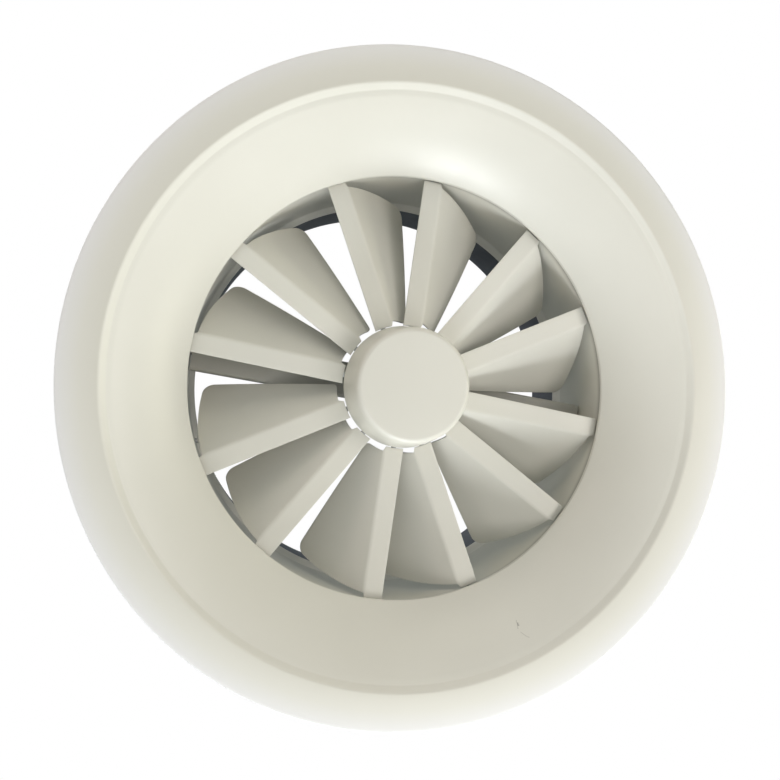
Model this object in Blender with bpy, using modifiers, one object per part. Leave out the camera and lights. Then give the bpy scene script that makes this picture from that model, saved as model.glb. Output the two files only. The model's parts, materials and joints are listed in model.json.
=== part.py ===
"""Ceiling swirl diffuser with twelve adjustable vanes in a bell-mouth nozzle.

The diffuser lies as it hangs in a ceiling: the face looks down (-Z), the duct
connection points up (+Z).  The origin is the centre of the face, in the plane
of the lowest point of the face ring.  All lengths below are in millimetres and
become metres through mm().  Names ending in _R are radii, in _Z, _Z0 and _Z1
heights, and in _S distances from the hub axis along a vane's pivot.
"""
import math

import bmesh
import bpy
from mathutils import Euler, Matrix, Vector

# ---------------------------------------------------------------- dimensions
STEPS = 48                 # facets round the large turned sheets
STEPS_HUB = 32             # facets round the hub parts
STEPS_RING = 24            # facets round the small hub rings
STEPS_SCREW = 16           # facets round the centre screw
STEPS_PIN = 10             # facets round pins, screws, rivets and their holes
CLEARANCE = 0.3            # gap between neighbouring parts

# Face sheet
SHEET = 1.5                # thickness
FACE_R = 235.6             # outer radius of the face ring
RIM_Z = 0.8                # height of the rim above the lowest point
CREST_R = 209.6            # radius from which the face ring rises to the rim
STEP_R, STEP_Z = 204.2, 3.5            # where the inward step meets the bell mouth
THROAT_R, THROAT_Z = 156.2, 42.2       # bell mouth at the throat
THROAT_COLLAR_TOP = 44.0   # top of the nozzle's short collar
BELL_STEP_SLOPE, BELL_THROAT_SLOPE = 23.0, 54.0   # degrees from horizontal
BELL_REACH = 21.0          # length of the curve handles at both ends
BELL_SEGMENTS = 7
GASKET_R0, GASKET_R1, GASKET_TOP = 220.0, 231.5, 8.0

# Neck, spigot collar and the band that bridges them
NECK_IN, NECK_OUT = 158.1, 159.3       # radii of the neck wall
NECK_Z0, NECK_Z1 = 42.6, 131.4
NECK_LIP_R = 153.85        # inward shoulder that ends the neck
NECK_CUT = (150.0, 165.0)  # radial extent of the hole cutters at the neck
COLLAR_IN, COLLAR_OUT = 155.7, 157.1
COLLAR_Z0, COLLAR_Z1 = NECK_Z1 + CLEARANCE, 183.2
BAND_IN, BAND_OUT = NECK_OUT + CLEARANCE, 160.9
BAND_UPPER_IN = 157.5      # band's inner radius beside the collar
BAND_Z0, BAND_Z1 = 121.0, 142.0
BAND_RIVET_Z = 126.0
RIVET_HEAD_S = BAND_OUT + CLEARANCE    # underside of the rivet heads
SEAL_IN, SEAL_OUT, SEAL_LIP_R = COLLAR_OUT + CLEARANCE, 158.7, 161.4
SEAL_Z0, SEAL_Z1 = 160.0, 176.0

# Crossbar: a trough across the neck, open upwards
BAR_ANGLE = math.radians(10.0)         # direction about +Z
BAR_HALF, BAR_W, BAR_H, BAR_T = 156.4, 27.4, 18.0, 2.0   # half length, width, height, wall
BAR_Z = 83.7               # underside
BAR_SCREW_Z = BAR_Z + 9.5
BAR_CUT = (140.0, 165.0)   # radial extent of the end hole cutters
BAR_CENTRE_HOLE_R, BAR_CENTRE_CUT = 3.4, 8.0      # radius and cutter depth
NUT_R, NUT_BORE, NUT_H = 6.2, 3.8, 5.0

# Vane sheet
VANE_COUNT = 12
VANE_Z = 49.8              # lower face of the vane strips
VANE_T = 1.5
PIN_R = 2.0                # pivot pins
PIN_HOLE_R = PIN_R + CLEARANCE
PIN_HEAD_S = NECK_OUT + CLEARANCE      # underside of pin and bar screw heads
PIVOT_Z = VANE_Z + VANE_T + CLEARANCE + PIN_R
ODD_ANGLE, EVEN_ANGLE = -81.35, -48.55            # vanes 1 and 2, degrees about +Z
PAIR_PITCH = 60.0          # degrees from one pair of vanes to the next
LEAD_T = -6.7              # leading edge, measured across the vane
CREASE_T = 7.5             # bend line, measured across the vane
STRIP_R0, STRIP_R1 = 46.0, 157.2
FLAP_R0, FLAP_R1 = 50.0, 154.0
FLAP_WIDTH, FLAP_WIDTH_S = 17.5, 47.0  # flat width past the crease, and where it is measured
FLAP_SLOPE = 0.575         # growth of that width per millimetre along the vane
FLAP_FILLET = 8.0
BEND_HUB, BEND_NECK = 41.0, 45.0       # bend angle at its hub end and neck end, degrees
BEND_S0, BEND_RUN = 47.0, 86.0         # start and length of the change in bend angle
BEND_R = 7.0

# Hub
CAP_Z0, CAP_Z1 = 14.4, 48.9
CAP_FACE_R, CAP_SIDE_R, CAP_BASE_R = 37.0, 41.4, 45.4
CAP_WALL = 1.5
DRUM_R, DRUM_WALL = 40.0, 1.5
DRUM_Z0, DRUM_Z1 = 36.8, 72.8
DRUM_CUT = (36.0, 43.0)    # radial extent of the pivot hole cutters
BOSS_R, BOSS_BORE, BOSS_Z0 = 10.0, 3.6, 48.8
SPACER_R = 8.5             # hub spacer and screw washer
WASHER_BORE, WASHER_Z0 = 3.3, 47.2
CLIP_W, CLIP_H, CLIP_T, CLIP_Z0 = 8.0, 10.0, 0.4, 37.0
CLIP_GAP, CLIP_BULGE = 0.4, 1.35       # stand-off from the drum, and bulge beyond it

# Vane drive
VANE_SWING = 28.0          # vane travel, degrees
REST_TILT = math.radians(VANE_SWING / 2)
CRANK = 12.0               # crank length
CRANK_WIRE_R = 1.9
CRANK_OUTER_S = 62.0       # outer end of the crank wire
CRANK_S = 34.6             # where the crank wire turns up
PEG_S = 28.0               # inner end of the crank peg
RING_R, RING_BORE = 32.0, 10.4
RING_Z0, RING_Z1 = PIVOT_Z + 8.2, PIVOT_Z + 14.8
NOTCH_R, NOTCH_W = 27.2, 5.2           # floor radius and width of the ring notches
NOTCH_CUT = 20.0           # radial length and height of the notch cutters
CIRCLIP_IN, CIRCLIP_OUT, CIRCLIP_T = 10.3, 12.6, 1.2
LEVER_X = 19.0


def mm(v):
    return v * 0.001


def vane_angle(i):
    """Direction of vane i (1 to 12) about +Z, in radians."""
    base = ODD_ANGLE if i % 2 else EVEN_ANGLE
    return math.radians(base + PAIR_PITCH * ((i - 1) // 2))


VANES = range(1, VANE_COUNT + 1)
RIVET_ANGLES = [math.radians(45 + 120 * k) for k in range(3)]
BAR_END_ANGLES = [BAR_ANGLE + math.pi * k for k in range(2)]

# --------------------------------------------------------- scene and materials
for ob in list(bpy.data.objects):
    bpy.data.objects.remove(ob, do_unlink=True)

parts = bpy.data.collections.new("ceiling_air_diffuser")
cutters = bpy.data.collections.new("cutters")
for collection in (parts, cutters):
    bpy.context.scene.collection.children.link(collection)


def material(name, colour, roughness, metallic=0.0):
    mat = bpy.data.materials.new(name)
    mat.use_nodes = True
    shader = mat.node_tree.nodes["Principled BSDF"]
    shader.inputs["Base Color"].default_value = (*colour, 1.0)
    shader.inputs["Roughness"].default_value = roughness
    shader.inputs["Metallic"].default_value = metallic
    return mat


PAINT = material("warm_white_powder_coat", colour=(0.72, 0.70, 0.64), roughness=0.42)
SLATE = material("slate_spigot_coat", colour=(0.055, 0.065, 0.080), roughness=0.55)
STEEL = material("zinc_plated_steel", colour=(0.62, 0.63, 0.64), roughness=0.35, metallic=1.0)
GALV = material("galvanised_sheet", colour=(0.50, 0.52, 0.53), roughness=0.45, metallic=1.0)
SPRING = material("spring_steel", colour=(0.45, 0.45, 0.46), roughness=0.30, metallic=1.0)
RUBBER = material("black_rubber", colour=(0.02, 0.02, 0.02), roughness=0.75)
FOAM = material("grey_cell_foam", colour=(0.10, 0.10, 0.11), roughness=0.95)
ALLOY = material("cast_alloy", colour=(0.66, 0.67, 0.68), roughness=0.40, metallic=1.0)


# -------------------------------------------------------------------- helpers
def place(name, data, mat=None, loc=(0, 0, 0), rot=(0, 0, 0), parent=None, coll=parts):
    ob = bpy.data.objects.new(name, data)
    coll.objects.link(ob)
    ob.location = [mm(v) for v in loc]
    ob.rotation_euler = rot
    ob.parent = parent
    if mat is not None and not data.materials:
        data.materials.append(mat)
    return ob


def mesh_from(bm, name):
    mesh = bpy.data.meshes.new(name)
    bm.to_mesh(mesh)
    bm.free()
    return mesh


def clockwise(loop):
    area = 0.0
    for (r0, z0), (r1, z1) in zip(loop, loop[1:] + loop[:1]):
        area += r0 * z1 - r1 * z0
    return loop if area < 0 else loop[::-1]


def profile_mesh(name, profile, closed=False):
    """Edges through (radius, z) points in the XZ plane; an open profile ends on the axis."""
    bm = bmesh.new()
    if closed:
        profile = clockwise(profile)
    verts = [bm.verts.new((mm(r), 0.0, mm(z))) for r, z in profile]
    for a, b in zip(verts, verts[1:]):
        bm.edges.new((a, b))
    if closed:
        bm.edges.new((verts[-1], verts[0]))
    return mesh_from(bm, name)


def turn(ob, steps):
    screw = ob.modifiers.new("turn", "SCREW")
    screw.angle = 2.0 * math.pi
    screw.steps = steps
    screw.render_steps = steps
    screw.use_merge_vertices = True
    screw.merge_threshold = 0.00001
    screw.use_smooth_shade = True
    return ob


def turned(name, profile, mat, steps, closed=True, loc=(0, 0, 0)):
    return turn(place(name, profile_mesh(name, profile, closed), mat, loc), steps)


def tube(name, inner, outer, z0, z1, mat, steps):
    return turned(name, [(outer, z1), (outer, z0), (inner, z0), (inner, z1)], mat, steps)


def radial_pin(name, mesh, z=0.0, angle=0.0, parent=None):
    """A turned pin whose axis runs out from the hub axis along the direction angle."""
    rot = (0, math.pi / 2, angle)
    turn(place(name, mesh, STEEL, (0, 0, z), rot, parent), STEPS_PIN)


def frame(z, rot):
    return Matrix.LocRotScale(Vector((0, 0, mm(z))), Euler(rot), None)


def add_box(bm, size, centre, where):
    scale = Matrix.Diagonal((*[mm(v) for v in size], 1.0))
    shift = Matrix.Translation([mm(v) for v in centre])
    bmesh.ops.create_cube(bm, size=1.0, matrix=where @ shift @ scale)


def add_cylinder(bm, radius, depth, where):
    bmesh.ops.create_cone(bm, cap_ends=True, segments=STEPS_PIN, radius1=mm(radius),
                          radius2=mm(radius), depth=mm(depth), matrix=where)


def cut(ob, name, bm, loc=(0, 0, 0), rot=(0, 0, 0)):
    """Subtract the closed shapes in bm, kept as one hidden cutter object."""
    cutter = place(name, mesh_from(bm, name), None, loc, rot, coll=cutters)
    cutter.hide_render = True
    cutter.display_type = "WIRE"
    boolean = ob.modifiers.new("cut", "BOOLEAN")
    boolean.operation = "DIFFERENCE"
    boolean.solver = "EXACT"
    boolean.object = cutter


def cut_radial_holes(ob, name, extent, holes):
    """Cut a pin hole at each (z, angle), between the two distances from the axis in extent."""
    inner, outer = extent
    middle = Matrix.Translation((0, 0, mm(0.5 * (inner + outer))))
    bm = bmesh.new()
    for z, angle in holes:
        add_cylinder(bm, PIN_HOLE_R, outer - inner, frame(z, (0, math.pi / 2, angle)) @ middle)
    cut(ob, name, bm)


def thicken(ob, thickness, offset):
    sheet = ob.modifiers.new("sheet", "SOLIDIFY")
    sheet.thickness = mm(thickness)
    sheet.offset = offset
    return sheet


pivot_holes = [(PIVOT_Z, vane_angle(i)) for i in VANES]
bar_end_holes = [(BAR_SCREW_Z, a) for a in BAR_END_ANGLES]
rivet_holes = [(BAND_RIVET_Z, a) for a in RIVET_ANGLES]


# -------------------------------------------------------------- face and neck
def bell(t):
    """Bell mouth at t from 0 (the shallow end at the step) to 1 (the steep end at the throat)."""
    a, b = math.radians(BELL_STEP_SLOPE), math.radians(BELL_THROAT_SLOPE)
    controls = [(STEP_R, STEP_Z),
                (STEP_R - BELL_REACH * math.cos(a), STEP_Z + BELL_REACH * math.sin(a)),
                (THROAT_R + BELL_REACH * math.cos(b), THROAT_Z - BELL_REACH * math.sin(b)),
                (THROAT_R, THROAT_Z)]
    weights = ((1 - t) ** 3, 3 * t * (1 - t) ** 2, 3 * t * t * (1 - t), t ** 3)
    return tuple(sum(w * p[axis] for w, p in zip(weights, controls)) for axis in range(2))


def flange_z(r):
    """Height of the visible side of the face ring, which rises towards the rim."""
    return RIM_Z * (max(0.0, r - CREST_R) / (FACE_R - CREST_R)) ** 2


def offset_inner_points(line, distance):
    """The points between the two ends of line, moved square to it."""
    moved = []
    for before, (r, z), after in zip(line, line[1:], line[2:]):
        along = (Vector(after) - Vector(before)).normalized()
        moved.append((r + distance * along.y, z - distance * along.x))
    return moved


def build_face():
    # Visible side, from the rim inwards and up the bell mouth
    front = [(r, flange_z(r)) for r in (FACE_R, 230.0, 221.0)]
    front += [(210.2, 0.0), (208.2, 0.7), (205.4, 2.9)]
    front += [bell(k / BELL_SEGMENTS) for k in range(BELL_SEGMENTS + 1)]
    front += [(THROAT_R, THROAT_COLLAR_TOP)]
    back = [(FACE_R, RIM_Z + SHEET), *offset_inner_points(front, SHEET),
            (THROAT_R + SHEET, THROAT_COLLAR_TOP)]
    turned("face_nozzle", front + back[::-1], PAINT, STEPS)

    lift = SHEET + 0.6         # underside of the gasket above the visible side
    turned("ceiling_gasket", [(GASKET_R1, GASKET_TOP), (GASKET_R1, flange_z(GASKET_R1) + lift),
                              (GASKET_R0, flange_z(GASKET_R0) + lift),
                              (GASKET_R0, GASKET_TOP)], FOAM, STEPS)


def build_neck():
    profile = [(NECK_OUT, NECK_Z1), (NECK_OUT, NECK_Z0), (NECK_IN, NECK_Z0),
               (NECK_IN, NECK_Z1 - 6.4), (155.6, NECK_Z1 - 3.2),
               (NECK_LIP_R, NECK_Z1 - 1.0), (NECK_LIP_R, NECK_Z1)]
    neck = turned("neck_shell", profile, PAINT, STEPS)
    cut_radial_holes(neck, "neck_holes", NECK_CUT, pivot_holes + bar_end_holes + rivet_holes)


def build_band():
    profile = [(BAND_OUT, BAND_Z1), (BAND_OUT, BAND_Z0), (BAND_IN, BAND_Z0),
               (BAND_IN, NECK_Z1 + 0.5), (BAND_UPPER_IN, NECK_Z1 + 1.8),
               (BAND_UPPER_IN, BAND_Z1)]
    band = turned("neck_band", profile, GALV, STEPS)
    cut_radial_holes(band, "band_holes", NECK_CUT, rivet_holes)

    rivet = profile_mesh("rivet", [(0, 163.0), (1.8, 162.7), (3.6, RIVET_HEAD_S),
                                   (PIN_R, RIVET_HEAD_S), (PIN_R, 157.0), (0, 157.0)])
    for k, angle in enumerate(RIVET_ANGLES, 1):
        radial_pin("neck_band_rivet_%d" % k, rivet, BAND_RIVET_Z, angle)


def build_spigot():
    tube("spigot_collar", COLLAR_IN, COLLAR_OUT, COLLAR_Z0, COLLAR_Z1, SLATE, STEPS)
    # The seal has two lips that slope outwards and down
    profile = [(SEAL_OUT, SEAL_Z1), (SEAL_OUT, 171.0), (SEAL_LIP_R, 168.0), (SEAL_OUT, 169.0),
               (SEAL_OUT, 165.0), (SEAL_LIP_R, 162.0), (SEAL_OUT, 163.0), (SEAL_OUT, SEAL_Z0),
               (SEAL_IN, SEAL_Z0), (SEAL_IN, SEAL_Z1)]
    turned("spigot_lip_seal", profile, RUBBER, STEPS)


# ------------------------------------------------------------------- crossbar
def build_crossbar():
    rot = (0, 0, BAR_ANGLE)
    bm = bmesh.new()
    add_box(bm, (2 * BAR_HALF, BAR_W, BAR_H), (0, 0, BAR_H / 2), Matrix())
    bar = place("crossbar", mesh_from(bm, "crossbar"), PAINT, (0, 0, BAR_Z), rot)

    bm = bmesh.new()
    add_box(bm, (2 * (BAR_HALF - BAR_T), BAR_W - 2 * BAR_T, 2 * BAR_H),
            (0, 0, BAR_T + BAR_H), Matrix())
    cut(bar, "crossbar_trough", bm, (0, 0, BAR_Z), rot)
    cut_radial_holes(bar, "crossbar_holes", BAR_CUT, bar_end_holes)
    bm = bmesh.new()
    add_cylinder(bm, BAR_CENTRE_HOLE_R, BAR_CENTRE_CUT, Matrix())
    cut(bar, "crossbar_centre_hole", bm, (0, 0, BAR_Z + BAR_T / 2))

    screw = profile_mesh("bar_screw", [(0, 162.5), (3.0, 162.1), (4.2, PIN_HEAD_S),
                                       (PIN_R, PIN_HEAD_S), (PIN_R, 149.6), (0, 149.6)])
    for k, angle in enumerate(BAR_END_ANGLES, 1):
        radial_pin("crossbar_screw_%d" % k, screw, BAR_SCREW_Z, angle)

    nut_z = BAR_Z + BAR_T + CLEARANCE
    tube("crossbar_nut", NUT_BORE, NUT_R, nut_z, nut_z + NUT_H, STEEL, steps=6)


# ------------------------------------------------------------------------ hub
def build_drum():
    """Drum, open below, with a central boss hanging from its top plate."""
    plate_z = DRUM_Z1 - DRUM_WALL
    profile = [(DRUM_R, DRUM_Z1), (DRUM_R, DRUM_Z0), (DRUM_R - DRUM_WALL, DRUM_Z0),
               (DRUM_R - DRUM_WALL, plate_z), (BOSS_R, plate_z), (BOSS_R, BOSS_Z0),
               (BOSS_BORE, BOSS_Z0), (BOSS_BORE, DRUM_Z1)]
    drum = turned("hub_drum", profile, GALV, STEPS_HUB)
    cut_radial_holes(drum, "drum_holes", DRUM_CUT, pivot_holes)


def build_hub_fixings():
    tube("hub_spacer", BOSS_BORE, SPACER_R, DRUM_Z1 + CLEARANCE, BAR_Z - CLEARANCE,
         STEEL, STEPS_RING)
    tube("screw_washer", WASHER_BORE, SPACER_R, WASHER_Z0, BOSS_Z0 - CLEARANCE,
         STEEL, STEPS_RING)
    head_z = WASHER_Z0 - CLEARANCE     # top of the screw head, which is at the lower end
    profile = [(0, 94.2), (2.4, 94.2), (3.0, 93.4), (3.0, head_z), (6.2, head_z),
               (6.2, 42.4), (5.2, 41.4), (0, 41.4)]
    turned("centre_screw", profile, STEEL, STEPS_SCREW, closed=False)


def build_cap():
    inner = [(0, CAP_Z0 + CAP_WALL), (CAP_FACE_R - 0.5, CAP_Z0 + CAP_WALL), (38.8, 16.9),
             (39.9, 19.2), (CAP_BASE_R - CAP_WALL, CAP_Z1)]
    outer = [(CAP_BASE_R, CAP_Z1), (CAP_SIDE_R, 18.8), (40.0, 15.8), (CAP_FACE_R, CAP_Z0),
             (0, CAP_Z0)]
    turned("hub_cap", inner + outer, PAINT, STEPS_HUB, closed=False)


def build_cap_clips():
    """Three bulging spring strips between the drum and the inside of the cap."""
    bm = bmesh.new()
    bmesh.ops.create_grid(bm, x_segments=2, y_segments=6, size=0.5)
    for v in bm.verts:
        side, up = v.co.x, v.co.y + 0.5
        bulge = CLIP_BULGE * math.sin(math.pi * up)
        v.co = (mm(DRUM_R + CLIP_GAP + bulge), mm(CLIP_W * side), mm(CLIP_Z0 + CLIP_H * up))
    mesh = mesh_from(bm, "cap_clip")
    for k in range(3):
        clip = place("cap_clip_%d" % (k + 1), mesh, SPRING, rot=(0, 0, math.radians(25 + 120 * k)))
        thicken(clip, CLIP_T, offset=0.0)


# ----------------------------------------------------------------- drive ring
def build_drive_ring():
    ring = tube("drive_ring", RING_BORE, RING_R, RING_Z0, RING_Z1, ALLOY, STEPS_HUB)
    # The notches follow the crank pegs, which the rest tilt moves sideways
    peg_turn = math.atan2(CRANK * math.sin(REST_TILT), 0.5 * (PEG_S + RING_R))
    bm = bmesh.new()
    for i in VANES:
        where = frame(0.5 * (RING_Z0 + RING_Z1), (0, 0, vane_angle(i) + peg_turn))
        add_box(bm, (NOTCH_CUT, NOTCH_W, NOTCH_CUT), (NOTCH_R + NOTCH_CUT / 2, 0, 0), where)
    cut(ring, "ring_notches", bm)

    below = RING_Z0 - CLEARANCE
    tube("ring_circlip", CIRCLIP_IN, CIRCLIP_OUT, below - CIRCLIP_T, below, SPRING, STEPS_RING)
    profile = [(0, below), (2.5, below), (2.5, 45.8), (3.6, 44.8), (3.6, 41.2), (2.6, 40.2),
               (0, 40.2)]
    turned("setting_lever", profile, STEEL, STEPS_PIN, closed=False, loc=(LEVER_X, 0, 0))


# ---------------------------------------------------------------------- vanes
def flap_edge_angle(r):
    """Angle in the flat sheet, about the hub, of the trailing edge at radius r."""
    # across = base + slope * along, with along^2 + across^2 = r^2
    slope = FLAP_SLOPE
    base = FLAP_WIDTH - FLAP_SLOPE * FLAP_WIDTH_S + CREASE_T
    qa, qb, qc = 1 + slope * slope, 2 * slope * base, base * base - r * r
    along = (-qb + math.sqrt(qb * qb - 4 * qa * qc)) / (2 * qa)
    angle = math.atan2(base + slope * along, along)
    over = r - (FLAP_R1 - FLAP_FILLET)
    if over > 0:
        angle -= (FLAP_FILLET - math.sqrt(max(0.0, FLAP_FILLET ** 2 - over ** 2))) / r
    return angle


def vane_point(r, across):
    """Bend a point of the flat sheet, given by its distance from the hub and across the vane."""
    along = math.sqrt(r * r - across * across)
    part = min(1.0, max(0.0, (along - BEND_S0) / BEND_RUN))
    bend = math.radians(BEND_HUB + (BEND_NECK - BEND_HUB) * part)
    past = across - CREASE_T
    reach = BEND_R * math.tan(bend / 2)
    if past <= -reach:
        y, rise = across, 0.0
    elif past >= reach:
        y, rise = CREASE_T + past * math.cos(bend), past * math.sin(bend)
    else:
        turned_by = bend * (past + reach) / (2 * reach)
        y = CREASE_T - reach + BEND_R * math.sin(turned_by)
        rise = BEND_R * (1 - math.cos(turned_by))
    return Vector((mm(along), mm(y), mm(rise + VANE_Z - PIVOT_Z)))


def vane_sheet():
    """Lower face of a vane, in the frame of its pivot: X outwards, Y across."""
    # Rows are distances from the hub; columns cross the strip, then divide the flap
    rows = [STRIP_R0, FLAP_R0, 62.0, 78.0, 94.0, 110.0, 126.0, 138.0, 146.0, 151.0, FLAP_R1]
    strip = [LEAD_T, 0.4, CREASE_T - 2.6, CREASE_T, CREASE_T + 2.9]
    flap_fractions = [0.35, 0.7, 1.0]
    row_steps = len(rows) - 1
    column_steps = len(strip) + len(flap_fractions) - 1
    last_strip = len(strip) - 1

    bm = bmesh.new()
    bmesh.ops.create_grid(bm, x_segments=row_steps, y_segments=column_steps, size=0.5)
    notch = []
    for v in bm.verts:
        row = round((v.co.x + 0.5) * row_steps)
        column = round((v.co.y + 0.5) * column_steps)
        if row == 0 and column >= last_strip:
            notch.append(v)
            continue
        r = rows[row]
        if column <= last_strip:
            across = strip[column]
            if row == row_steps and column < last_strip:
                r = STRIP_R1
        else:
            start = strip[-1]
            end = r * math.sin(flap_edge_angle(r))
            across = start + (end - start) * flap_fractions[column - len(strip)]
        v.co = vane_point(r, across)
    # The flap starts one row further out than the strip, which leaves a notch beside the hub
    bmesh.ops.delete(bm, geom=notch, context="VERTS")
    mesh = mesh_from(bm, "vane")
    for polygon in mesh.polygons:
        polygon.use_smooth = True
    return mesh


def crank_wire():
    """One bent wire along the pivot, up the arm and in along the peg."""
    curve = bpy.data.curves.new("crank", "CURVE")
    curve.dimensions = "3D"
    curve.bevel_depth = mm(CRANK_WIRE_R)
    curve.bevel_resolution = 1
    curve.use_fill_caps = True
    arm_y, arm_z = CRANK * math.sin(REST_TILT), CRANK * math.cos(REST_TILT)
    path = [(CRANK_OUTER_S, 0, 0), (CRANK_S, 0, 0), (CRANK_S, arm_y, arm_z),
            (PEG_S, arm_y, arm_z)]
    spline = curve.splines.new("POLY")
    spline.points.add(len(path) - 1)
    for point, (x, y, z) in zip(spline.points, path):
        point.co = (mm(x), mm(y), mm(z), 1.0)
    return curve


def build_vanes():
    sheet_mesh = vane_sheet()
    crank_curve = crank_wire()
    pin_mesh = profile_mesh("pivot_pin", [(0, 162.3), (3.2, 161.9), (3.8, PIN_HEAD_S),
                                          (PIN_R, PIN_HEAD_S), (PIN_R, 136.0), (0, 135.4)])
    for i in VANES:
        axis = place("vane_axis_%02d" % i, None, loc=(0, 0, PIVOT_Z), rot=(0, 0, vane_angle(i)))
        vane = place("vane_%02d" % i, sheet_mesh, PAINT, parent=axis)
        thicken(vane, VANE_T, offset=1.0).use_even_offset = True
        crank = place("vane_crank_%02d" % i, crank_curve, STEEL, parent=axis)
        crank.modifiers.new("weld", "WELD").merge_threshold = 0.00001
        radial_pin("vane_pivot_%02d" % i, pin_mesh, parent=axis)


build_face()
build_neck()
build_spigot()
build_band()
build_crossbar()
build_drum()
build_hub_fixings()
build_cap()
build_cap_clips()
build_drive_ring()
build_vanes()

for ob in parts.objects:
    if ob.type == "MESH":
        ob.data.set_sharp_from_angle(angle=math.radians(35))
bpy.context.view_layer.update()
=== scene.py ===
"""Looks for a round ceiling swirl diffuser: fine sheet-metal meshes and procedural finishes.

The axis is Z. The flat rim of the face lies near z = 0 and looks down (-Z); the neck and the
spigot rise along +Z. Twelve vanes stand round a central hub, each on a radial pivot.
Sizes are in millimetres and meshes are scaled to metres when they become objects. Materials,
lights and the camera are in metres.
"""
import json
import math

import bmesh
import bpy
from mathutils import Matrix, Vector


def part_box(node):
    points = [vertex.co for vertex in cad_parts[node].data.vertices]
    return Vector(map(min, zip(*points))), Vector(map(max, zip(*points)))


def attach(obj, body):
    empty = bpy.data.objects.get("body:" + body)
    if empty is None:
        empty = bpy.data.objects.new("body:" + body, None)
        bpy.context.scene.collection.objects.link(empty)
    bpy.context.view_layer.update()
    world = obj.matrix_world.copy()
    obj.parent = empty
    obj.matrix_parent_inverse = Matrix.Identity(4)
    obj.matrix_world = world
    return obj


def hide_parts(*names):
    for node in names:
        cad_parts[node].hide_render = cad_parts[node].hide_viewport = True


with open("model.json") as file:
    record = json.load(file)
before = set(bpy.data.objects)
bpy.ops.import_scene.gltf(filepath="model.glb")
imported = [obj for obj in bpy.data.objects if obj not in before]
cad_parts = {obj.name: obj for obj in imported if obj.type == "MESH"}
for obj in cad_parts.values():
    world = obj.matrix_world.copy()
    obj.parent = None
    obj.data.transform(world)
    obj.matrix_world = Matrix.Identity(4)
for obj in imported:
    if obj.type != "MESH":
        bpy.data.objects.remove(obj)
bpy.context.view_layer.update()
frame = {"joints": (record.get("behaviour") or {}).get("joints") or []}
JOINTS = {joint["name"]: joint for joint in frame["joints"]}
VANES = ["%02d" % i for i in range(1, 13)]
PIVOT_Z = JOINTS["vane_01_tilt"]["pos_m"][2] * 1000.0
MM = 0.001


def direction(vane):
    """Angle about Z of a vane's pivot."""
    axis = JOINTS["vane_%s_tilt" % vane]["axis"]
    return math.atan2(axis[1], axis[0])


def box_mm(node):
    low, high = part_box(node)
    return low * 1000.0, high * 1000.0


# ---------------------------------------------------------------- placements
def about(angle, z=0.0):
    """Places a piece drawn along +X at an angle about Z."""
    return Matrix.Rotation(angle, 4, "Z") @ Matrix.Translation((0, 0, z))


def outward(angle, z):
    """Places a turned piece with its own axis pointing out from Z."""
    return about(angle, z) @ Matrix.Rotation(math.pi / 2, 4, "Y")


# ---------------------------------------------------------------- mesh tools
def link(name, data):
    ob = bpy.data.objects.new(name, data)
    bpy.context.scene.collection.objects.link(ob)
    return ob


def new_object(name, shape, placement=Matrix.Identity(4)):
    """Turns a bmesh in millimetres into an object in metres."""
    shape.transform(placement)
    bmesh.ops.scale(shape, vec=(MM, MM, MM), verts=shape.verts)
    mesh = bpy.data.meshes.new(name)
    shape.to_mesh(mesh)
    shape.free()
    return link(name, mesh)


def finish_mesh(ob, angle):
    """Smooth shading, with edges sharper than the angle (degrees) kept crisp."""
    for face in ob.data.polygons:
        face.use_smooth = True
    ob.data.set_sharp_from_angle(angle=math.radians(angle))
    return ob


def baked(ob):
    """The object as a mesh with its modifiers and its placement applied."""
    bpy.context.view_layer.update()
    graph = bpy.context.evaluated_depsgraph_get()
    mesh = bpy.data.meshes.new_from_object(ob.evaluated_get(graph), preserve_all_data_layers=True,
                                           depsgraph=graph)
    name, world_matrix = ob.name, ob.matrix_world.copy()
    bpy.data.objects.remove(ob, do_unlink=True)
    mesh.transform(world_matrix)
    mesh.name = name
    return link(name, mesh)


def thicken(ob, thickness, offset, even=False):
    sheet = ob.modifiers.new("sheet", "SOLIDIFY")
    sheet.thickness = thickness * MM
    sheet.offset = offset
    sheet.use_even_offset = even


def soften(ob, width, segments):
    """Bevels the edges sharper than 60 degrees."""
    edge = ob.modifiers.new("edge", "BEVEL")
    edge.width = width * MM
    edge.segments = segments
    edge.limit_method = "ANGLE"
    edge.angle_limit = math.radians(60)


def rounded(corners, steps=5, closed=True):
    """A profile with its corners rounded; each corner is (x, y, radius)."""
    points = []
    count = len(corners)
    for i, (x, y, radius) in enumerate(corners):
        if radius <= 0 or (not closed and i in (0, count - 1)):
            points.append((x, y))
            continue
        corner = Vector((x, y))
        before = Vector(corners[i - 1][:2]) - corner
        after = Vector(corners[(i + 1) % count][:2]) - corner
        room = 0.48 * before.length, 0.48 * after.length
        before.normalize()
        after.normalize()
        half = 0.5 * math.acos(max(-1.0, min(1.0, before.dot(after))))
        if half < 0.02 or half > 1.55:
            points.append(tuple(corner))
            continue
        setback = min(radius / math.tan(half), *room)
        fitted = setback * math.tan(half)
        centre = corner + (before + after).normalized() * (fitted / math.sin(half))
        start, end = corner + before * setback - centre, corner + after * setback - centre
        angle = math.atan2(start.y, start.x)
        sweep = (math.atan2(end.y, end.x) - angle + math.pi) % (2 * math.pi) - math.pi
        for k in range(steps + 1):
            turned = angle + sweep * k / steps
            points.append((centre.x + fitted * math.cos(turned),
                           centre.y + fitted * math.sin(turned)))
    return points


def ring_section(outer, inner, first_z, second_z, corner):
    """Rectangular section of a plain ring, between two radii and two heights."""
    return rounded([(outer, first_z, corner), (outer, second_z, corner),
                    (inner, second_z, corner), (inner, first_z, corner)], 3)


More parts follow.
